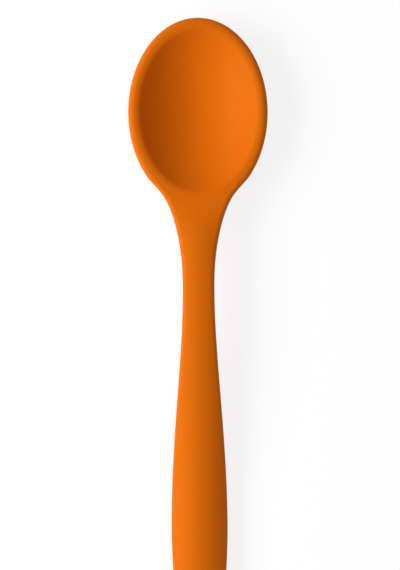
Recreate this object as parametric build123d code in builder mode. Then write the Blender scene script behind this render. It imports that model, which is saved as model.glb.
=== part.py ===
from build123d import *
import math
import os

# Mixing spoon of silicone moulded over a stiff core, lying on its back.
# +Z is up, +Y points to the bowl's tip and X is across, in millimetres.

# Whole spoon, and where the neck and the widest place of the handle lie
overall_length = 280.0
neck_distance = 78.0  # from the bowl's centre to the narrowest place
tail_length = 53.0  # from the widest place of the handle to its end

# Bowl outline, its lip and its hollow
bowl_width = 62.0
bowl_length = 84.0
lip_side_width = 4.5
lip_tip_width = 4.75
lip_neck_width = 6.15
lip_height = 4.6
hollow_depth = 12.0

# Layers of the bowl's floor, which add up to its thickness
inner_skin = 1.4
former_wall = 1.2
outer_skin = 1.4

# Neck and handle
neck_width = 14.0
neck_thickness = 9.0
neck_rise = 3.2  # of the neck's crest above the rim
handle_width = 25.0
handle_thickness = 12.0
end_width = 22.0
front_crown_radius = 18.0
back_crown_radius = 22.0

# Rounded edges
front_edge_radius = 2.3
back_edge_radius = 1.7
shoulder_radius = 4.5

# Swelling of the underside where the neck runs into the belly
keel_lift = 5.0
belly_blend = 5.0

# Hole for hanging the spoon up
hang_hole_radius = 4.0
hang_edge_radius = 1.5

# Silicone that covers the core at the lip and at the edges
lip_cover = 1.8
edge_cover = 2.6

# Steel strip in the handle, held in the former's neck
tang_thickness = 2.0
nylon_wrap = 1.0  # of nylon beside the strip
eye_cover = 1.5  # of silicone between the hanging hole and the strip
tang_start = 60.0  # from the bowl's centre to the strip's front end
former_end = 92.0  # from the bowl's centre to the end of the nylon
lock_hole_pitch = 15.0
former_hole_radius = 1.8

# Places of the outline's flare, of the crown and of the keel, as shares of the runs that they follow
flare_join_share = 0.7  # of half the bowl's length, where the flare leaves the oval
flare_shares = ((0.107, 0.694), (0.245, 0.416), (0.424, 0.218), (0.656, 0.069))  # run and narrowing
handle_shares = (0.5, 0.545)  # of the run from neck to widest place, and of its widening
crown_full_share = 0.71  # of the way from the mouth to the neck
keel_start_share = 0.594  # of half the bowl's length
keel_end_share = 0.36  # of the way from the bowl's rear end to the neck
round_share = 0.5  # of a wall's height that one rounding may take
shoulder_share = 0.95  # of the lip that the two roundings may fill
neck_hole_share = 0.45  # of half the strip's width
former_ring_shares = ((0.42, 6), (0.78, 10))  # of the former's half sizes, with the holes in each ring

# Cutting tools reach this far past what they cut
overrun = 4.0

# Fineness of the free-form faces
points_across = 21
points_along = 81
face_tolerance = 0.01

# Sizes that follow
half_width = bowl_width / 2
half_length = bowl_length / 2
bowl_floor = inner_skin + former_wall + outer_skin
rim_height = bowl_floor + hollow_depth
bowl_y = overall_length / 2 - half_length
end_distance = overall_length - half_length
end_radius = end_width / 2
hole_distance = end_distance - end_radius
wide_distance = end_distance - tail_length
neck_crest = rim_height + neck_rise
hollow_half_width = half_width - lip_side_width
hollow_half_length = (bowl_length - lip_tip_width - lip_neck_width) / 2
hollow_y = bowl_y + (lip_neck_width - lip_tip_width) / 2
mouth_distance = half_length - lip_neck_width
crown_full = mouth_distance + crown_full_share * (neck_distance - mouth_distance)
tang_cover = edge_cover + nylon_wrap


def spheroid_radius(half, depth):
    """Radius of the arc that is this deep across a mouth of this half width."""
    return (half**2 + depth**2) / (2 * depth)


belly_radius = spheroid_radius(half_width, rim_height - lip_height)
belly_reach = half_length * belly_radius / half_width
hollow_radius = spheroid_radius(hollow_half_width, hollow_depth)
hollow_reach = hollow_half_length * hollow_radius / hollow_half_width
hollow_z = bowl_floor + hollow_radius
shoulder_angle = math.asin(hollow_half_width / hollow_radius)


def y_at(distance):
    """Place along the spoon, from the distance behind the bowl's centre."""
    return bowl_y - distance


def ease(start, end, value):
    """Smooth step from 0 at start to 1 at end."""
    t = min(1, max(0, (value - start) / (end - start)))
    return t * t * (3 - 2 * t)


def crest(distance):
    """Height of the front face along the middle line."""
    rise = neck_rise * ease(mouth_distance, neck_distance, distance)
    fall = (neck_crest - handle_thickness) * ease(neck_distance, wide_distance, distance)
    return rim_height + rise - fall


def keel(distance):
    """Height of the handle's back along the middle line, lifted away inside the bowl."""
    growth = (handle_thickness - neck_thickness) * ease(neck_distance, wide_distance, distance)
    start = keel_start_share * half_length
    end = half_length + keel_end_share * (neck_distance - half_length)
    lift = keel_lift * (1 - ease(start, end, distance))
    return crest(max(distance, neck_distance)) - neck_thickness - growth + lift


def crown(x, distance):
    """Square of the distance from the crest, which rolls over the handle's round end."""
    along = max(0, distance - hole_distance)
    return ease(mouth_distance, crown_full, distance) * (x**2 + along**2)


def front_height(x, distance):
    return crest(distance) - crown(x, distance) / (2 * front_crown_radius)


def belly_height(x, distance):
    """Underside of the bowl, an oval spheroid that stands on the ground."""
    inside = 1 - (x / belly_radius) ** 2 - (distance / belly_reach) ** 2
    return belly_radius * (1 - math.sqrt(max(inside, 0)))


def back_height(x, distance):
    """The lower of belly and handle, with the crease between them filled."""
    handle = keel(distance) + crown(x, distance) / (2 * back_crown_radius)
    belly = belly_height(x, distance)
    near = max(belly_blend - abs(handle - belly), 0)
    return min(handle, belly) - near**2 / (4 * belly_blend)


def field_face(height, shift):
    """Smooth face over the whole spoon at height(x, distance) plus shift."""
    reach_x = half_width + overrun
    start = -half_length - overrun
    length = overall_length + 2 * overrun
    rows = []
    for j in range(points_along):
        distance = start + length * j / (points_along - 1)
        row = []
        for i in range(points_across):
            x = reach_x * (2 * i / (points_across - 1) - 1)
            row.append((x, y_at(distance), height(x, distance) + shift))
        rows.append(row)
    return Face.make_surface_from_array_of_points(rows, tol=face_tolerance, min_deg=3)


def plan_sketch(inset):
    """Outline seen from the front, drawn in by inset all round."""
    across = half_width - inset
    along = half_length - inset
    join = flare_join_share * half_length
    join_x = across * math.sqrt(1 - (join / along) ** 2)
    join_slope = -join / join_x * (across / along) ** 2
    start_angle = -math.degrees(math.asin(join / along))
    neck_x = neck_width / 2 - inset
    wide = (handle_width / 2 - inset, y_at(wide_distance))
    end_x = end_radius - inset
    flare = [(join_x, y_at(join))]
    for run, narrowing in flare_shares:
        x = neck_x + narrowing * (join_x - neck_x)
        flare.append((x, y_at(join + run * (neck_distance - join))))
    neck = (neck_x, y_at(neck_distance))
    along_share, widening = handle_shares
    middle_x = neck_x + widening * (wide[0] - neck_x)
    middle = (middle_x, y_at(neck_distance + along_share * (wide_distance - neck_distance)))
    down = (0, -1)
    with BuildSketch(Plane.XY.offset(-overrun)) as plan:
        with BuildLine():
            EllipticalCenterArc((0, bowl_y), across, along, start_angle, arc_size=90 - start_angle)
            Spline(*flare, neck, tangents=[(join_slope, -1), down])
            Spline(neck, middle, wide, tangents=[down, down])
            Spline(wide, (end_x, y_at(hole_distance)), tangents=[down, down])
            RadiusArc((end_x, y_at(hole_distance)), (0, y_at(end_distance) + inset), end_x)
            mirror(about=Plane.YZ)
        make_face()
    return plan.sketch


def spoon_blank(inset, below_front, above_back):
    """Solid between the front and back faces, drawn in at its sides, front and back."""
    stock = neck_crest + 2 * overrun
    tool_depth = 2 * (neck_crest + half_width)
    with BuildPart() as blank:
        extrude(plan_sketch(inset), amount=stock)
        front = field_face(front_height, -below_front)
        extrude(front, amount=tool_depth, dir=(0, 0, -1), mode=Mode.INTERSECT)
        back = field_face(back_height, above_back)
        extrude(back, amount=tool_depth, dir=(0, 0, -1), mode=Mode.SUBTRACT)
    return blank.part


def hollow_sketch(grow):
    """Half oval that turns into the bowl's hollow, grown by grow."""
    radius = hollow_radius + grow
    reach = hollow_reach + grow
    with BuildSketch(Plane((0, hollow_y, hollow_z))) as half:
        Ellipse(radius, reach)
        Rectangle(2 * radius, 2 * reach, align=(Align.MAX, Align.CENTER), mode=Mode.SUBTRACT)
    return half.sketch


hollow_axis = Axis((0, hollow_y, hollow_z), (0, 1, 0))


# Steel strip, bent along the middle of the handle
def strip_line(side):
    """Points of the strip's upper or lower face, from its front end to its rear end."""
    last = end_distance - tang_cover
    steps = round((last - tang_start) / lock_hole_pitch)
    points = []
    for step in range(steps + 1):
        distance = tang_start + (last - tang_start) * step / steps
        middle = (crest(distance) + keel(distance)) / 2
        points.append((y_at(distance), middle + side * tang_thickness / 2))
    return points


upper_line = strip_line(1)
lower_line = strip_line(-1)
tang_neck_half = neck_width / 2 - tang_cover
neck_hole_radius = neck_hole_share * tang_neck_half
held_length = former_end - tang_start
neck_holes = [tang_start + held_length / 4, former_end - held_length / 4]
first_lock = former_end + lock_hole_pitch
lock_run = hole_distance - lock_hole_pitch - first_lock
lock_holes = [first_lock + lock_hole_pitch * n for n in range(int(lock_run / lock_hole_pitch) + 1)]

with BuildPart() as steel_tang:
    with BuildSketch(Plane.YZ):
        with BuildLine():
            Spline(*upper_line)
            Line(upper_line[-1], lower_line[-1])
            Spline(*lower_line)
            Line(lower_line[0], upper_line[0])
        make_face()
    extrude(amount=handle_width, both=True)
    extrude(plan_sketch(tang_cover), amount=neck_crest + 2 * overrun, mode=Mode.INTERSECT)
    with Locations(*[(0, y_at(distance)) for distance in neck_holes + lock_holes]):
        Hole(neck_hole_radius, depth=neck_crest)
    with Locations((0, y_at(hole_distance))):
        Hole(hang_hole_radius + eye_cover, depth=neck_crest)
steel_tang.part.label = "steel_tang"

# Perforated nylon former in the wall of the bowl, with the neck that grips the strip
ring_places = [(0, hollow_y)]
for share, count in former_ring_shares:
    for n in range(count):
        turn = 2 * math.pi * (n + 1 / 2) / count
        x = share * (half_width - edge_cover) * math.cos(turn)
        ring_places.append((x, bowl_y + share * (half_length - edge_cover) * math.sin(turn)))

with BuildPart() as bowl_former:
    add(spoon_blank(edge_cover, lip_cover, outer_skin))
    split(bisect_by=Plane.XZ.offset(-y_at(former_end)), keep=Keep.BOTTOM)
    revolve(hollow_sketch(inner_skin), axis=hollow_axis, mode=Mode.SUBTRACT)
    with Locations(*ring_places):
        Hole(former_hole_radius, depth=neck_crest)
    nylon_space = bowl_former.part
    add(steel_tang.part, mode=Mode.SUBTRACT)
bowl_former.part.label = "bowl_former"

# Silicone skin, one moulding over both, which also fills the holes in them
front_round = min(front_edge_radius, round_share * lip_height, round_share * lip_side_width)
back_round = min(back_edge_radius, round_share * lip_height)
lip_left = shoulder_share * lip_side_width - front_round
shoulder_round = min(shoulder_radius, lip_left / math.tan(shoulder_angle / 2))

with BuildPart() as silicone_skin:
    add(spoon_blank(0, 0, 0))
    add(nylon_space, mode=Mode.SUBTRACT)
    add(steel_tang.part, mode=Mode.SUBTRACT)
    caps = silicone_skin.faces().sort_by(SortBy.AREA)[-2:].sort_by(Axis.Z)
    fillet(caps[-1].outer_wire().edges(), front_round)
    caps = silicone_skin.faces().sort_by(SortBy.AREA)[-2:].sort_by(Axis.Z)
    fillet(caps[0].outer_wire().edges(), back_round)
    revolve(hollow_sketch(0), axis=hollow_axis, mode=Mode.SUBTRACT)
    fillet(silicone_skin.edges(Select.LAST), shoulder_round)
    with Locations((0, y_at(hole_distance))):
        Hole(hang_hole_radius, depth=neck_crest)
    rims = silicone_skin.edges(Select.LAST).filter_by(GeomType.LINE, reverse=True)
    fillet(rims, hang_edge_radius)
silicone_skin.part.label = "silicone_skin"

os.makedirs("parts", exist_ok=True)
for piece in (silicone_skin, steel_tang, bowl_former):
    export_step(piece.part, f"parts/{piece.part.label}.step")
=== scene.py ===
"""Silicone mixing spoon: the moulded skin, the finish of its core and the studio."""

import math

import bmesh
import bpy
import numpy as np
from bpy.props import FloatProperty, FloatVectorProperty, PointerProperty
from bpy.types import Operator, Panel, PropertyGroup
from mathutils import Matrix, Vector


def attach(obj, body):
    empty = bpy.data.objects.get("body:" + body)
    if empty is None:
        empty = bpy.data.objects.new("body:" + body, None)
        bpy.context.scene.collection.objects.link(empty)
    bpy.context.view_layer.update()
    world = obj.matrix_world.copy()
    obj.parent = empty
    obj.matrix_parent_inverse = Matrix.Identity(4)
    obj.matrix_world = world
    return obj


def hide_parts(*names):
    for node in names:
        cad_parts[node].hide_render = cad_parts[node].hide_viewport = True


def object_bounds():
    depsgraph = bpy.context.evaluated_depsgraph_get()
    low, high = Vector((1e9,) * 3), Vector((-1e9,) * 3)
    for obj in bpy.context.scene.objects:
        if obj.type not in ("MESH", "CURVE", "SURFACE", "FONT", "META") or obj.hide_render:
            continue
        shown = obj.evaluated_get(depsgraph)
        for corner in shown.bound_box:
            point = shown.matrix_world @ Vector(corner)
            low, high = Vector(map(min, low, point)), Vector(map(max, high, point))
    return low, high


bl_info = {
    "name": "Silicone Mixing Spoon",
    "version": (1, 0, 0),
    "blender": (4, 5, 0),
    "location": "View3D > Sidebar > Spoon",
    "description": "Models a silicone mixing spoon over its packed core and lights it",
    "category": "Add Mesh",
}

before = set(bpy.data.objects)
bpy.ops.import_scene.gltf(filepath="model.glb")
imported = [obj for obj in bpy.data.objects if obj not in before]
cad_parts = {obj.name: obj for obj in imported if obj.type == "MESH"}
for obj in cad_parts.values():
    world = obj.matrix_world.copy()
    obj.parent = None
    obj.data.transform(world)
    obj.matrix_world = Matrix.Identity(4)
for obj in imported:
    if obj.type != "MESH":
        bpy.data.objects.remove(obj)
CAD_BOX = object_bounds()
SPOON_SIZE = CAD_BOX[1] - CAD_BOX[0]
MM = 0.001

# Layout of the skin's mesh
RING = 64  # vertices round the bowl
COLUMNS = 16  # edges of that ring that face the neck, and faces across the handle
BOWL_EDGES = RING - COLUMNS
HALF_COLUMNS = COLUMNS // 2
NECK_SPAN = math.pi / 4  # half the angle at the bowl's centre that the neck takes
FLARE_ROWS = 14
HANDLE_ROWS = 36
ROW_GRADING = 0.22  # how much closer the rows lie towards the handle's end
BELLY_RINGS = 8
BELLY_START = 0.5  # share of the bowl's oval that the belly's first ring has
HOLLOW_SHARES = (0.55, 0.67, 0.78, 0.87)  # of the hollow's half sizes, for its rings
SHOULDER_STEPS = 3
FRONT_STEPS = 3
BACK_STEPS = 2
HOLE_STEPS = 3
HOLE_BLOCK = 3  # columns from the hanging hole's middle to the ring round it
HOLE_RING_SHARE = 1.55  # of the hole's radius, for that ring
HOLE_WALL_SHARES = (0.1, 0.3)  # of the hole's wall, for its rings from each face
TILT_ROUNDS = 5  # to find where a rounding meets its crowned face
FIT_ROUNDS = 4
SUBDIVISIONS = 2

# Textures: the size of their blotches, and the height of their bumps
NOISE_SPAN = (0.3, 0.7)  # part of a noise's values that is spread out
DUST_SIZE = 9 * MM
DUST_SHARE = 0.6
BLOTCH_SIZE = 3 * MM
WAVE_SIZE, WAVE_HEIGHT = 6 * MM, 0.03 * MM
ROLLING_SIZE, ROLLING_HEIGHT = 0.4 * MM, 0.004 * MM
FIBRE_SIZE, FIBRE_HEIGHT = 0.5 * MM, 0.01 * MM
SPECK_SIZE = 2 * MM
SILICONE_IOR = 1.41

# Studio
PICTURE_SIZE = (400, 570)
FLOOR_FACES = 8  # along each side
FLOOR_HALF_SIZE = 4
FLOOR_GLOW = 1.1
FLOOR_GLOW_SHARE = 0.75
KEY_SIZE = (1.0, 0.5)


def length(name, default, description):
    return FloatProperty(name=name, description=description, default=default, unit="LENGTH", precision=5)


def factor(name, default, description):
    return FloatProperty(name=name, description=description, default=default, min=0, max=1, subtype="FACTOR")


def colour(name, default, description):
    return FloatVectorProperty(
        name=name, description=description, default=default, min=0, max=1, size=3, subtype="COLOR"
    )


class SpoonSizes(PropertyGroup):
    """Sizes of the moulded skin, as the solid under it has them."""

    overall_length: length("Overall length", SPOON_SIZE.y, "From the bowl's tip to the handle's end")
    bowl_width: length("Bowl width", SPOON_SIZE.x, "Across the bowl")
    bowl_length: length("Bowl length", 84 * MM, "Along the bowl's full oval")
    neck_distance: length("Neck distance", 78 * MM, "From the bowl's centre to the narrowest place")
    tail_length: length("Tail length", 53 * MM, "From the widest place of the handle to its end")
    lip_side_width: length("Lip width, side", 4.5 * MM, "From the outline to the hollow, at the side")
    lip_tip_width: length("Lip width, tip", 4.75 * MM, "From the outline to the hollow, at the tip")
    lip_neck_width: length("Lip width, neck", 6.15 * MM, "From the oval to the hollow, at the neck")
    lip_height: length("Lip height", 4.6 * MM, "Height of the bowl's side wall")
    hollow_depth: length("Hollow depth", 12 * MM, "From the rim to the bottom of the hollow")
    floor_thickness: length("Floor thickness", 4 * MM, "Bowl's floor, core and both skins together")
    neck_width: length("Neck width", 14 * MM, "Width of the narrowest place")
    neck_thickness: length("Neck thickness", 9 * MM, "Neck from front to back")
    neck_rise: length("Neck rise", 3.2 * MM, "Height of the neck's crest above the rim")
    handle_width: length("Handle width", 25 * MM, "Handle at its widest place")
    handle_thickness: length("Handle thickness", 12 * MM, "Handle from front to back")
    end_width: length("End width", 22 * MM, "Twice the radius of the handle's round end")
    front_crown_radius: length("Front crown", 18 * MM, "Radius of the handle's front across it")
    back_crown_radius: length("Back crown", 22 * MM, "Radius of the handle's back across it")
    front_edge_radius: length("Front edge", 2.25 * MM, "Radius of the edge round the front")
    back_edge_radius: length("Back edge", 1.7 * MM, "Radius of the edge round the back")
    shoulder_radius: length("Shoulder", 4.5 * MM, "Radius between the lip and the hollow")
    keel_lift: length("Keel lift", 5 * MM, "How far the handle's back fades up into the bowl")
    belly_blend: length("Belly blend", 5 * MM, "Filling of the crease between belly and handle")
    hang_hole_radius: length("Hanging hole", 4 * MM, "Radius of the hole in the handle's end")
    hang_edge_radius: length("Hanging hole edge", 1.5 * MM, "Radius of the hole's rims")


class SpoonFinish(PropertyGroup):
    """Colours and textures of the silicone and of the core inside it."""

    silicone: colour("Silicone", (0.745, 0.145, 0.002), "Pigment of the skin")
    silicone_dull: colour("Dull silicone", (0.72, 0.15, 0.005), "Where fine dust dulls the skin")
    roughness: factor("Roughness", 0.5, "Roughness of the matt moulded surface")
    grain_size: length("Grain size", 0.35 * MM, "Size of the eroded mould's grain")
    grain_height: length("Grain height", 0.015 * MM, "Height of the eroded mould's grain")
    steel: colour("Steel", (0.6, 0.6, 0.61), "Blanked stainless strip")
    nylon: colour("Nylon", (0.36, 0.33, 0.28), "Glass-filled nylon")


class SpoonStudio(PropertyGroup):
    """Camera, floor and lights."""

    view_width: length("View width", 177.6 * MM, "Width of the picture at the rim's height")
    view_x: length("View centre across", 0.6 * MM, "Place of the picture's middle across the spoon")
    view_y: length("View centre along", 21.2 * MM, "Place of the picture's middle along the spoon")
    view_roll: FloatProperty(
        name="View roll", description="Turn of the picture", default=math.radians(-0.23), subtype="ANGLE"
    )
    view_distance: length("View distance", 2.4, "From the camera to the bowl's rim")
    floor_colour: colour("Floor", (0.86, 0.86, 0.86), "Pale studio floor")
    key_power: FloatProperty(name="Key power", description="Watts of the wide lamp on the left", default=8.8)
    key_distance: length("Key distance", 0.9, "From the spoon to the wide lamp")
    key_height: FloatProperty(
        name="Key height",
        description="Angle of the wide lamp above the floor",
        default=math.radians(37),
        subtype="ANGLE",
    )
    fill: FloatProperty(name="Fill", description="Strength of the light from all round", default=0.33)


def ease(start, end, value):
    """Smooth step from 0 at start to 1 at end."""
    t = min(1, max(0, (value - start) / (end - start)))
    return t * t * (3 - 2 * t)


def smooth_line(points, start_slope, end_slope):
    """Cubic through points of (place, value), with unbroken curvature and these slopes at its ends."""
    at, value = np.array(points, float).T
    gap = np.diff(at)
    rise = np.diff(value) / gap
    matrix = np.eye(len(at))
    wanted = np.zeros(len(at))
    wanted[0], wanted[-1] = start_slope, end_slope
    for i in range(1, len(at) - 1):
        before, after = 1 / gap[i - 1], 1 / gap[i]
        matrix[i, i - 1 : i + 2] = before, 2 * (before + after), after
        wanted[i] = 3 * (rise[i - 1] * before + rise[i] * after)
    slopes = np.linalg.solve(matrix, wanted)

    def line(place):
        i = int(np.clip(np.searchsorted(at, place) - 1, 0, len(at) - 2))
        t = (place - at[i]) / gap[i]
        straight = (1 + 2 * t) * (1 - t) ** 2 * value[i] + t * t * (3 - 2 * t) * value[i + 1]
        return float(straight + gap[i] * t * (1 - t) * ((1 - t) * slopes[i] - t * slopes[i + 1]))

    return line


def dish_radius(half, depth):
    """Radius of the arc that is this deep across a mouth of this half width."""
    return (half**2 + depth**2) / (2 * depth)


class SpoonForm:
    """Faces and outline of the spoon. x is across and d is the distance behind the bowl's centre."""

    flare_join_share = 0.7
    flare_shares = ((0.107, 0.694), (0.245, 0.416), (0.424, 0.218), (0.656, 0.069))
    handle_shares = (0.5, 0.545)
    crown_full_share = 0.71
    keel_start_share = 0.594
    keel_end_share = 0.36
    slope_step = 0.02 * MM

    def __init__(self, sizes):
        self.sizes = s = sizes
        self.half_width = s.bowl_width / 2
        self.half_length = s.bowl_length / 2
        self.bowl_y = s.overall_length / 2 - self.half_length
        self.rim_height = s.floor_thickness + s.hollow_depth
        self.neck_crest = self.rim_height + s.neck_rise
        self.end_radius = s.end_width / 2
        self.end = s.overall_length - self.half_length
        self.hole = self.end - self.end_radius
        self.wide = self.end - s.tail_length
        self.mouth = self.half_length - s.lip_neck_width
        self.crown_full = self.mouth + self.crown_full_share * (s.neck_distance - self.mouth)
        self.belly_radius = dish_radius(self.half_width, self.rim_height - s.lip_height)
        self.belly_reach = self.half_length * self.belly_radius / self.half_width
        self.hollow_width = self.half_width - s.lip_side_width
        self.hollow_length = (s.bowl_length - s.lip_tip_width - s.lip_neck_width) / 2
        self.hollow_y = self.bowl_y + (s.lip_neck_width - s.lip_tip_width) / 2
        self.hollow_radius = dish_radius(self.hollow_width, s.hollow_depth)
        self.edges = {1: (s.front_edge_radius, FRONT_STEPS), -1: (s.back_edge_radius, BACK_STEPS)}
        self.join = self.flare_join_share * self.half_length
        self.lay_out_sides()

    def lay_out_sides(self):
        """Lines of the half width along the flare, the handle and its tail, with where each ends."""
        s = self.sizes
        join_x = self.half_width * math.sqrt(1 - self.flare_join_share**2)
        join_slope = -self.join / join_x * (self.half_width / self.half_length) ** 2
        neck = (s.neck_distance, s.neck_width / 2)
        wide = (self.wide, s.handle_width / 2)
        flare = [(self.join, join_x)]
        for run, narrowing in self.flare_shares:
            place = self.join + run * (neck[0] - self.join)
            flare.append((place, neck[1] + narrowing * (join_x - neck[1])))
        along, widening = self.handle_shares
        middle = (neck[0] + along * (wide[0] - neck[0]), neck[1] + widening * (wide[1] - neck[1]))
        self.lines = [
            (neck[0], smooth_line([*flare, neck], join_slope, 0)),
            (wide[0], smooth_line([neck, middle, wide], 0, 0)),
            (self.hole, smooth_line([wide, (self.hole, self.end_radius)], 0, 0)),
        ]

    def side(self, d):
        """Half width of the outline between the flare's start and the round end."""
        return next((line for last, line in self.lines if d <= last), self.lines[-1][1])(d)

    def crest(self, d):
        """Height of the front face along the middle line."""
        s = self.sizes
        rise = s.neck_rise * ease(self.mouth, s.neck_distance, d)
        fall = (self.neck_crest - s.handle_thickness) * ease(s.neck_distance, self.wide, d)
        return self.rim_height + rise - fall

    def keel(self, d):
        """Height of the handle's back along the middle line, lifted away inside the bowl."""
        s = self.sizes
        growth = (s.handle_thickness - s.neck_thickness) * ease(s.neck_distance, self.wide, d)
        start = self.keel_start_share * self.half_length
        end = self.half_length + self.keel_end_share * (s.neck_distance - self.half_length)
        lift = s.keel_lift * (1 - ease(start, end, d))
        return self.crest(max(d, s.neck_distance)) - s.neck_thickness - growth + lift

    def crown(self, x, d):
        """Square of the distance from the crest, which rolls over the handle's round end."""
        along = max(0, d - self.hole)
        return ease(self.mouth, self.crown_full, d) * (x**2 + along**2)

    def height(self, face, x, d):
        """Height of the front face for 1, and of the back for -1, with its creased belly filled."""
        s = self.sizes
        if face > 0:
            return self.crest(d) - self.crown(x, d) / (2 * s.front_crown_radius)
        inside = 1 - (x / self.belly_radius) ** 2 - (d / self.belly_reach) ** 2
        belly = self.belly_radius * (1 - math.sqrt(max(inside, 0)))
        handle = self.keel(d) + self.crown(x, d) / (2 * s.back_crown_radius)
        near = max(s.belly_blend - abs(handle - belly), 0)
        return min(handle, belly) - near**2 / (4 * s.belly_blend)

    def on_face(self, face, x, d):
        return Vector((x, self.bowl_y - d, self.height(face, x, d)))

    def in_hollow(self, share, x, y):
        """Place in the hollow, for a point of the unit disc that is shrunk to this share."""
        out = share * math.hypot(x, y) * self.hollow_width
        height = self.sizes.floor_thickness + self.hollow_radius - math.sqrt(self.hollow_radius**2 - out**2)
        across, along = share * self.hollow_width * x, share * self.hollow_length * y
        return Vector((across, self.hollow_y + along, height))

    def handle_side(self, d):
        """Place and outward direction on the handle's right side, both as (x, d)."""
        step = self.slope_step
        slope = (self.side(d + step) - self.side(d - step)) / (2 * step) if d < self.hole else 0
        return Vector((self.side(d), d)), Vector((1, -slope)).normalized()

    def bowl_side(self, angle):
        """Place and outward direction on the bowl's outline, both as (x, d)."""
        x, d = self.half_width * math.cos(angle), -self.half_length * math.sin(angle)
        if d > self.join:
            place, outward = self.handle_side(d)
            return (place, outward) if x > 0 else (mirrored(place), mirrored(outward))
        outward = Vector((math.cos(angle) / self.half_width, -math.sin(angle) / self.half_length))
        return Vector((x, d)), outward.normalized()

    def rounding(self, face, place, outward, radius, steps):
        """Places round an edge, from where the face ends to where the upright wall begins."""
        tilt = 0
        for _ in range(TILT_ROUNDS):
            contact = place - outward * radius * (1 - math.sin(tilt))
            step = outward * self.slope_step
            fall = face * (self.height(face, *(contact - step)) - self.height(face, *(contact + step)))
            tilt = math.atan(fall / (2 * self.slope_step))
        middle = face * self.height(face, *contact) - radius * math.cos(tilt)
        places = []
        for k in range(steps + 1):
            turn = tilt + (math.pi / 2 - tilt) * k / steps
            x, d = place - outward * radius * (1 - math.sin(turn))
            places.append(Vector((x, self.bowl_y - d, face * (middle + radius * math.cos(turn)))))
        return places

    def edge(self, face, side):
        """Places round the outline's edge at a side."""
        return self.rounding(face, *side, *self.edges[face])

    def shoulder(self, angle):
        """Places round the bowl's shoulder, from the hollow's wall to the top of the lip."""
        a, b = self.hollow_width, self.hollow_length
        ball, dish = self.sizes.shoulder_radius, self.hollow_radius
        outward = Vector((math.cos(angle) / a, math.sin(angle) / b))
        lean = math.atan(a * a / math.sqrt(dish**2 - a * a) * outward.length)
        outward.normalize()
        below = dish * math.cos(lean) + ball
        middle = math.sqrt((dish + ball) ** 2 - below**2) - dish * math.sin(lean)
        lean = math.acos(below / (dish + ball))
        places = []
        for k in range(SHOULDER_STEPS + 1):
            turn = lean * (1 - k / SHOULDER_STEPS)
            out = outward * (middle - ball * math.sin(turn))
            x, y = a * math.cos(angle) + out.x, self.hollow_y + b * math.sin(angle) + out.y
            top = self.height(1, x, self.bowl_y - y)
            places.append(Vector((x, y, top - ball * (1 - math.cos(turn)))))
        return places


def mirrored(pair):
    return Vector((-pair.x, pair.y))


def ring_angle(k):
    """Angle on the bowl's oval of ring vertex k. The ring begins where the neck's right side does."""
    return -NECK_SPAN + 2 * math.pi * k / RING


def column_share(i):
    """Place of a column between the middle line at 0 and a side at minus or plus 1."""
    return math.sin(NECK_SPAN * i / HALF_COLUMNS) / math.sin(NECK_SPAN)


def square_to_disc(u, v):
    """Where a point of the square from -1 to 1 lies on the unit disc."""
    return u * math.sqrt(1 - v * v / 2), v * math.sqrt(1 - u * u / 2)


def ring_direction(i, k):
    """Direction from the middle of a square of columns and rows to a place on its ring, as (x, d)."""
    m = max(abs(i), abs(k))
    if abs(i) == m:
        turn = NECK_SPAN * k / m
        return Vector((math.copysign(math.cos(turn), i), math.sin(turn)))
    turn = NECK_SPAN * i / m
    return Vector((math.sin(turn), math.copysign(math.cos(turn), k)))


def line_edges(bm, line, closed):
    """Edges between neighbours in a line of vertices."""
    following = line[1:] + line[:1] if closed else line[1:]
    return [bm.edges.get(pair) for pair in zip(line, following)]


def grow(bm, line, places, closed=True):
    """Extrudes a line of vertices and puts the new ones in their places, in the same order."""
    made = bmesh.ops.extrude_edge_only(bm, edges=line_edges(bm, line, closed))["geom"]
    fresh = {v for v in made if isinstance(v, bmesh.types.BMVert)}
    grown = []
    for vertex, place in zip(line, places, strict=True):
        new = next(e.other_vert(vertex) for e in vertex.link_edges if e.other_vert(vertex) in fresh)
        new.co = place
        grown.append(new)
    return grown


def begin_disc(bm, place_on):
    """Lays a grid over the middle of the bowl and returns its rim as a ring."""
    made = bmesh.ops.create_grid(bm, x_segments=COLUMNS, y_segments=COLUMNS, size=HALF_COLUMNS)["verts"]
    rim = {}
    for vertex in made:
        i, j = round(vertex.co.x), round(vertex.co.y)
        x, y = square_to_disc(column_share(i), column_share(j))
        vertex.co = place_on(x, y)
        if max(abs(i), abs(j)) == HALF_COLUMNS:
            turn = math.atan2(y, x) + NECK_SPAN
            rim[round(turn / (2 * math.pi) * RING) % RING] = vertex
    return [rim[k] for k in range(RING)]


def begin_front(bm, form):
    """The hollow, its shoulder and the top of the lip."""
    ring = begin_disc(bm, lambda x, y: form.in_hollow(HOLLOW_SHARES[0], x, y))
    angles = [ring_angle(k) for k in range(RING)]
    for share in HOLLOW_SHARES[1:]:
        ring = grow(bm, ring, [form.in_hollow(share, math.cos(a), math.sin(a)) for a in angles])
    for places in zip(*[form.shoulder(a) for a in angles]):
        ring = grow(bm, ring, places)
    return ring


def begin_back(bm, form):
    """The belly, out to its last ring before the edge."""
    wide = form.edge(-1, form.bowl_side(0))[0].x
    long = form.edge(-1, form.bowl_side(math.pi / 2))[0].y - form.bowl_y
    ring = begin_disc(bm, lambda x, y: form.on_face(-1, BELLY_START * wide * x, -BELLY_START * long * y))
    for n in range(1, BELLY_RINGS):
        share = BELLY_START + (1 - BELLY_START) * n / BELLY_RINGS
        angles = [ring_angle(k) for k in range(RING)]
        places = [form.on_face(-1, share * wide * math.cos(a), -share * long * math.sin(a)) for a in angles]
        ring = grow(bm, ring, places)
    return ring


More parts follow.
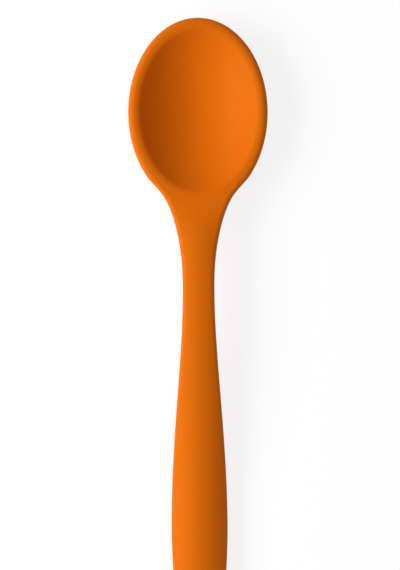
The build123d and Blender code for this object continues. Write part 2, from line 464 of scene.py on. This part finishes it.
def handle_rows(form):
    """Rows from the bowl to the handle's end: the right side of each, its bow and its place by the hole."""
    neck = form.sizes.neck_distance
    start = form.bowl_side(ring_angle(0))[0].y
    block_start = form.hole - form.end_radius
    rows = []
    for n in range(1, FLARE_ROWS + 1):
        t = n / FLARE_ROWS
        rows.append((form.handle_side(start + (neck - start) * t), 1 - ease(0, 1, t), None))
    for n in range(1, HANDLE_ROWS + 1):
        t = n / HANDLE_ROWS
        t += ROW_GRADING * (t - t**4)
        rows.append((form.handle_side(neck + (block_start - neck) * t), 0, None))
    for k in range(1 - HALF_COLUMNS, HALF_COLUMNS + 1):
        if k < 0:
            side = form.handle_side(form.hole + form.end_radius * column_share(k))
        else:
            outward = ring_direction(HALF_COLUMNS, k)
            side = Vector((0, form.hole)) + form.end_radius * outward, outward
        rows.append((side, 0, k))
    return rows


def block_place(form, contact, i, k):
    """Place near the hanging hole as (x, d), drawn into rings round the hole."""
    reach = contact.length if k > 0 else contact.x
    if k > 0:
        natural = Vector(square_to_disc(column_share(i), column_share(k))) * reach
    else:
        natural = Vector((contact.x * column_share(i), contact.y))
    m = max(abs(i), abs(k))
    if m < HOLE_BLOCK:
        return natural
    first = HOLE_RING_SHARE * form.sizes.hang_hole_radius
    out = first + (reach - first) * (m - HOLE_BLOCK) / (HALF_COLUMNS - HOLE_BLOCK)
    return natural.lerp(ring_direction(i, k) * out, 1 - ease(HOLE_BLOCK, HALF_COLUMNS, m))


def row_places(form, face, row, bow):
    """Places across one row of the handle, from its left side to its right side."""
    side, bow_share, k = row
    contact = form.edge(face, side)[0]
    contact = Vector((contact.x, form.bowl_y - contact.y))
    places = []
    for i in range(-HALF_COLUMNS, HALF_COLUMNS + 1):
        if k is None:
            u = column_share(i)
            arch = (math.sqrt(1 - u * u / 2) - math.sqrt(0.5)) / (1 - math.sqrt(0.5))
            x, d = contact.x * u, contact.y + bow * bow_share * arch
        else:
            x, d = block_place(form, contact - Vector((0, form.hole)), i, k) + Vector((0, form.hole))
        places.append(form.on_face(face, x, d))
    return places


def lay_face(bm, form, face, ring):
    """Grows a face from the ring round its bowl, and returns its rim, the rim's sides and the hole's ring."""
    bowl_sides = [form.bowl_side(ring_angle(k)) for k in range(BOWL_EDGES + 1)]
    places = [form.edge(face, side)[0] for side in bowl_sides]
    corner = Vector((places[0].x, form.bowl_y - places[0].y))
    for i in range(1 - HALF_COLUMNS, HALF_COLUMNS):
        u = column_share(i)
        places.append(form.on_face(face, corner.x * u, corner.y * math.sqrt(2 - u * u)))
    ring = grow(bm, ring, places)
    line = ring[BOWL_EDGES:] + ring[:1]
    bow = corner.y * (math.sqrt(2) - 1)
    rows = handle_rows(form)
    lines, block = [], []
    for row in rows:
        line = grow(bm, line, row_places(form, face, row, bow), closed=False)
        lines.append(line)
        k = row[2]
        if k is not None and abs(k) <= HOLE_BLOCK:
            inside = range(-HOLE_BLOCK, HOLE_BLOCK + 1)
            block += [(i, k, line[i + HALF_COLUMNS]) for i in inside]
    right = [row[0] for row in rows]
    left = [(mirrored(place), mirrored(outward)) for place, outward in right]
    end = []
    for i in range(1 - HALF_COLUMNS, HALF_COLUMNS):
        outward = ring_direction(i, HALF_COLUMNS)
        end.append((Vector((0, form.hole)) + form.end_radius * outward, outward))
    rim = ring[: BOWL_EDGES + 1] + [line[0] for line in lines] + lines[-1][1:-1]
    rim += [line[-1] for line in reversed(lines)]
    sides = bowl_sides + left + end + right[::-1]
    return rim, sides, open_hole(bm, form, face, block)


def open_hole(bm, form, face, block):
    """Opens the face over the hanging hole, rounds the hole's rim and returns where its wall begins."""
    middle = Vector((0, form.hole))
    inner = [vertex for i, k, vertex in block if max(abs(i), abs(k)) < HOLE_BLOCK]
    outer = {ring_direction(i, k).to_tuple(): vertex for i, k, vertex in block if vertex not in inner}
    bmesh.ops.delete(bm, geom=inner, context="VERTS")
    outward = sorted(outer, key=lambda pair: math.atan2(pair[1], pair[0]))
    ring = [outer[pair] for pair in outward]
    radius, edge = form.sizes.hang_hole_radius, form.sizes.hang_edge_radius
    rounds = []
    for pair in outward:
        direction = Vector(pair)
        rounds.append(form.rounding(face, middle + radius * direction, -direction, edge, HOLE_STEPS))
    for places in zip(*rounds):
        ring = grow(bm, ring, places)
    wall = form.sizes.handle_thickness - 2 * edge
    for share in HOLE_WALL_SHARES:
        ring = grow(bm, ring, [place[-1] - Vector((0, 0, face * share * wall)) for place in rounds])
    return ring


def fit_to_places(bm):
    """Moves the vertices so that the subdivided surface passes through where they stand now."""
    wanted = [v.co.copy() for v in bm.verts]
    for _ in range(FIT_ROUNDS):
        moves = []
        for vertex, place in zip(bm.verts, wanted):
            n = len(vertex.link_edges)
            total = vertex.co * n * n
            for edge in vertex.link_edges:
                total += 4 * edge.other_vert(vertex).co
            for loop in vertex.link_loops:
                total += loop.link_loop_next.link_loop_next.vert.co
            moves.append(place - total / (n * (n + 5)))
        for vertex, move in zip(bm.verts, moves):
            vertex.co += move


def mould_skin(form):
    """The skin as one closed mesh: both faces, the edge round them and the hole's wall."""
    bm = bmesh.new()
    rim, sides, hole = lay_face(bm, form, 1, begin_front(bm, form))
    back_rim, _, back_hole = lay_face(bm, form, -1, begin_back(bm, form))
    rounds = [form.edge(1, side)[1:] + form.edge(-1, side)[:0:-1] for side in sides]
    for places in zip(*rounds):
        rim = grow(bm, rim, places)
    for first, second in ((rim, back_rim), (hole, back_hole)):
        edges = line_edges(bm, first, True) + line_edges(bm, second, True)
        bmesh.ops.bridge_loops(bm, edges=edges)
    bmesh.ops.recalc_face_normals(bm, faces=bm.faces[:])
    fit_to_places(bm)
    mesh = bpy.data.meshes.new("spoon_skin")
    bm.to_mesh(mesh)
    bm.free()
    mesh.shade_smooth()
    return mesh


def new_material(name):
    """A material with its node tree, its shader and its texture coordinates."""
    material = bpy.data.materials.new(name)
    material.use_nodes = True
    nodes, links = material.node_tree.nodes, material.node_tree.links
    shader = nodes["Principled BSDF"]
    place = nodes.new("ShaderNodeTexCoord").outputs["Object"]
    return material, nodes, links, shader, place


def add_noise(nodes, links, place, size, detail=2, stretch=(1, 1, 1)):
    """Noise with blotches of this size, drawn out where stretch is under 1."""
    mapping = nodes.new("ShaderNodeMapping")
    mapping.inputs["Scale"].default_value = stretch
    links.new(place, mapping.inputs["Vector"])
    noise = nodes.new("ShaderNodeTexNoise")
    noise.inputs["Scale"].default_value = 1 / size
    noise.inputs["Detail"].default_value = detail
    links.new(mapping.outputs["Vector"], noise.inputs["Vector"])
    return noise.outputs["Fac"]


def add_range(nodes, links, value, low, high):
    """Spreads a noise from low to high."""
    spread = nodes.new("ShaderNodeMapRange")
    spread.inputs["From Min"].default_value = NOISE_SPAN[0]
    spread.inputs["From Max"].default_value = NOISE_SPAN[1]
    spread.inputs["To Min"].default_value = low
    spread.inputs["To Max"].default_value = high
    links.new(value, spread.inputs["Value"])
    return spread.outputs["Result"]


def add_mix(nodes, links, value, first, second):
    """Mixes two colours by a value."""
    mix = nodes.new("ShaderNodeMix")
    mix.data_type = "RGBA"
    mix.inputs["A"].default_value = (*first, 1)
    mix.inputs["B"].default_value = (*second, 1)
    links.new(value, mix.inputs["Factor"])
    return mix.outputs["Result"]


def add_bump(nodes, links, value, height, under=None):
    """Raises the surface by a noise, over another bump if there is one."""
    bump = nodes.new("ShaderNodeBump")
    bump.inputs["Distance"].default_value = height
    links.new(value, bump.inputs["Height"])
    if under:
        links.new(under, bump.inputs["Normal"])
    return bump.outputs["Normal"]


def silicone_material(finish):
    """Matt pigmented silicone with the grain of an eroded mould and a little dust."""
    material, nodes, links, shader, place = new_material("moulded_silicone")
    dust = add_range(nodes, links, add_noise(nodes, links, place, DUST_SIZE, 4), 0, DUST_SHARE)
    links.new(add_mix(nodes, links, dust, finish.silicone, finish.silicone_dull), shader.inputs["Base Color"])
    blotch = add_noise(nodes, links, place, BLOTCH_SIZE, 3)
    rough = add_range(nodes, links, blotch, finish.roughness - 0.04, finish.roughness + 0.05)
    links.new(rough, shader.inputs["Roughness"])
    waves = add_bump(nodes, links, add_noise(nodes, links, place, WAVE_SIZE, 1), WAVE_HEIGHT)
    grain = add_noise(nodes, links, place, finish.grain_size, 3)
    links.new(add_bump(nodes, links, grain, finish.grain_height, waves), shader.inputs["Normal"])
    shader.inputs["IOR"].default_value = SILICONE_IOR
    shader.inputs["Specular IOR Level"].default_value = 0.3
    shader.inputs["Specular Tint"].default_value = (1, 0.55, 0.08, 1)
    shader.inputs["Sheen Weight"].default_value = 0.05
    shader.inputs["Sheen Roughness"].default_value = 0.4
    shader.inputs["Sheen Tint"].default_value = (1, 0.6, 0.25, 1)
    return material


def steel_material(finish):
    """Blanked stainless strip with rolling lines along it."""
    material, nodes, links, shader, place = new_material("stainless_strip")
    lines = add_noise(nodes, links, place, ROLLING_SIZE, 3, (1, 0.02, 1))
    darker = [0.75 * value for value in finish.steel]
    links.new(add_mix(nodes, links, lines, finish.steel, darker), shader.inputs["Base Color"])
    links.new(add_range(nodes, links, lines, 0.28, 0.45), shader.inputs["Roughness"])
    links.new(add_bump(nodes, links, lines, ROLLING_HEIGHT), shader.inputs["Normal"])
    shader.inputs["Metallic"].default_value = 1
    return material


def nylon_material(finish):
    """Glass-filled nylon with short fibres near its surface."""
    material, nodes, links, shader, place = new_material("glass_filled_nylon")
    fibres = add_range(nodes, links, add_noise(nodes, links, place, FIBRE_SIZE, 4, (1, 0.2, 1)), 0, 1)
    paler = [min(1, 1.25 * value) for value in finish.nylon]
    links.new(add_mix(nodes, links, fibres, finish.nylon, paler), shader.inputs["Base Color"])
    links.new(add_range(nodes, links, fibres, 0.5, 0.65), shader.inputs["Roughness"])
    links.new(add_bump(nodes, links, fibres, FIBRE_HEIGHT), shader.inputs["Normal"])
    return material


def seen_directly(nodes, links, amount):
    """That amount for what the camera sees, also by reflection or through glass, and 0 for other light."""
    path = nodes.new("ShaderNodeLightPath")
    either = nodes.new("ShaderNodeMath")
    links.new(path.outputs["Is Camera Ray"], either.inputs[0])
    links.new(path.outputs["Is Glossy Ray"], either.inputs[1])
    seen = nodes.new("ShaderNodeMath")
    seen.use_clamp = True
    links.new(either.outputs["Value"], seen.inputs[0])
    links.new(path.outputs["Is Transmission Ray"], seen.inputs[1])
    scaled = nodes.new("ShaderNodeMath")
    scaled.operation = "MULTIPLY"
    scaled.inputs[1].default_value = amount
    links.new(seen.outputs["Value"], scaled.inputs[0])
    return scaled.outputs["Value"]


def floor_material(studio):
    """Pale matt floor that looks white and still takes a shadow."""
    material, nodes, links, shader, place = new_material("studio_floor")
    shader.inputs["Roughness"].default_value = 0.9
    shader.inputs["Specular IOR Level"].default_value = 0.1
    speck = add_range(nodes, links, add_noise(nodes, links, place, SPECK_SIZE, 3), 0, 1)
    paler = [min(1, 1.01 * value) for value in studio.floor_colour]
    links.new(add_mix(nodes, links, speck, studio.floor_colour, paler), shader.inputs["Base Color"])
    glow = nodes.new("ShaderNodeEmission")
    glow.inputs["Strength"].default_value = FLOOR_GLOW
    mix = nodes.new("ShaderNodeMixShader")
    links.new(seen_directly(nodes, links, FLOOR_GLOW_SHARE), mix.inputs["Fac"])
    links.new(shader.outputs["BSDF"], mix.inputs[1])
    links.new(glow.outputs["Emission"], mix.inputs[2])
    links.new(mix.outputs["Shader"], nodes["Material Output"].inputs["Surface"])
    return material


class SPOON_OT_mould_skin(Operator):
    """Model the seamless silicone skin"""

    bl_idname = "spoon.mould_skin"
    bl_label = "Mould Skin"

    def execute(self, context):
        skin = bpy.data.objects.new("spoon_skin", mould_skin(SpoonForm(context.scene.spoon_sizes)))
        context.scene.collection.objects.link(skin)
        smooth = skin.modifiers.new("smooth", "SUBSURF")
        smooth.levels = smooth.render_levels = SUBDIVISIONS
        skin.data.materials.append(silicone_material(context.scene.spoon_finish))
        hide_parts("silicone_skin")
        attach(skin, "root")
        return {"FINISHED"}


class SPOON_OT_finish_core(Operator):
    """Give the steel strip and the nylon former inside the skin their finish"""

    bl_idname = "spoon.finish_core"
    bl_label = "Finish Core"

    def execute(self, context):
        finish = context.scene.spoon_finish
        finishes = {"steel_tang": steel_material(finish), "bowl_former": nylon_material(finish)}
        for node, material in finishes.items():
            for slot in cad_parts[node].material_slots:
                slot.material = material
        return {"FINISHED"}


class SPOON_OT_set_studio(Operator):
    """Lay the floor and set the lights and the camera"""

    bl_idname = "spoon.set_studio"
    bl_label = "Set Studio"

    def execute(self, context):
        studio = context.scene.spoon_studio
        lay_floor(context.scene, studio)
        hang_lights(context.scene, studio)
        set_camera(context.scene, studio)
        context.scene.view_settings.view_transform = "Standard"
        return {"FINISHED"}


def lay_floor(scene, studio):
    bm = bmesh.new()
    bmesh.ops.create_grid(bm, x_segments=FLOOR_FACES, y_segments=FLOOR_FACES, size=FLOOR_HALF_SIZE)
    mesh = bpy.data.meshes.new("floor")
    bm.to_mesh(mesh)
    bm.free()
    floor = bpy.data.objects.new("floor", mesh)
    mesh.materials.append(floor_material(studio))
    scene.collection.objects.link(floor)


def hang_lights(scene, studio):
    """One long soft lamp low on the left, and even light from all round."""
    lamp = bpy.data.lights.new("key", "AREA")
    lamp.shape = "RECTANGLE"
    lamp.size, lamp.size_y = KEY_SIZE
    lamp.energy = studio.key_power
    key = bpy.data.objects.new("key", lamp)
    towards = Vector((-math.cos(studio.key_height), 0, math.sin(studio.key_height)))
    key.location = Vector((0, studio.view_y, 0)) + studio.key_distance * towards
    key.rotation_euler = towards.to_track_quat("Z", "Y").to_euler()
    key.visible_camera = False
    scene.collection.objects.link(key)
    world = bpy.data.worlds.new("studio")
    scene.world = world
    world.use_nodes = True
    nodes, links = world.node_tree.nodes, world.node_tree.links
    strength = nodes.new("ShaderNodeMath")
    strength.inputs[1].default_value = studio.fill
    links.new(seen_directly(nodes, links, 1 - studio.fill), strength.inputs[0])
    links.new(strength.outputs["Value"], nodes["Background"].inputs["Strength"])
    nodes["Background"].inputs["Color"].default_value = (1, 1, 1, 1)


def set_camera(scene, studio):
    """Looks straight down on the front, with the bowl's tip at the top of the picture."""
    data = bpy.data.cameras.new("camera")
    camera = bpy.data.objects.new("camera", data)
    scene.collection.objects.link(camera)
    picture_height = studio.view_width * PICTURE_SIZE[1] / PICTURE_SIZE[0]
    data.lens = data.sensor_width * studio.view_distance / picture_height
    data.clip_end = 4 * studio.view_distance
    rim_height = scene.spoon_sizes.floor_thickness + scene.spoon_sizes.hollow_depth
    camera.location = (studio.view_x, studio.view_y, rim_height + studio.view_distance)
    camera.rotation_euler = (0, 0, studio.view_roll)
    scene.camera = camera


class SPOON_PT_panel(Panel):
    """Everything that makes the spoon's scene"""

    bl_idname = "SPOON_PT_panel"
    bl_label = "Mixing Spoon"
    bl_space_type = "VIEW_3D"
    bl_region_type = "UI"
    bl_category = "Spoon"

    def draw(self, context):
        for group in GROUPS:
            box = self.layout.box()
            for name in GROUPS[group].__annotations__:
                box.prop(getattr(context.scene, group), name)
        for operator in (SPOON_OT_mould_skin, SPOON_OT_finish_core, SPOON_OT_set_studio):
            self.layout.operator(operator.bl_idname)


GROUPS = {"spoon_sizes": SpoonSizes, "spoon_finish": SpoonFinish, "spoon_studio": SpoonStudio}
CLASSES = (*GROUPS.values(), SPOON_OT_mould_skin, SPOON_OT_finish_core, SPOON_OT_set_studio, SPOON_PT_panel)


def register():
    for item in CLASSES:
        bpy.utils.register_class(item)
    for name, group in GROUPS.items():
        setattr(bpy.types.Scene, name, PointerProperty(type=group))


def unregister():
    for name in GROUPS:
        delattr(bpy.types.Scene, name)
    for item in reversed(CLASSES):
        bpy.utils.unregister_class(item)


def main():
    register()
    bpy.ops.spoon.mould_skin()
    bpy.ops.spoon.finish_core()
    bpy.ops.spoon.set_studio()


if __name__ == "__main__":
    main()
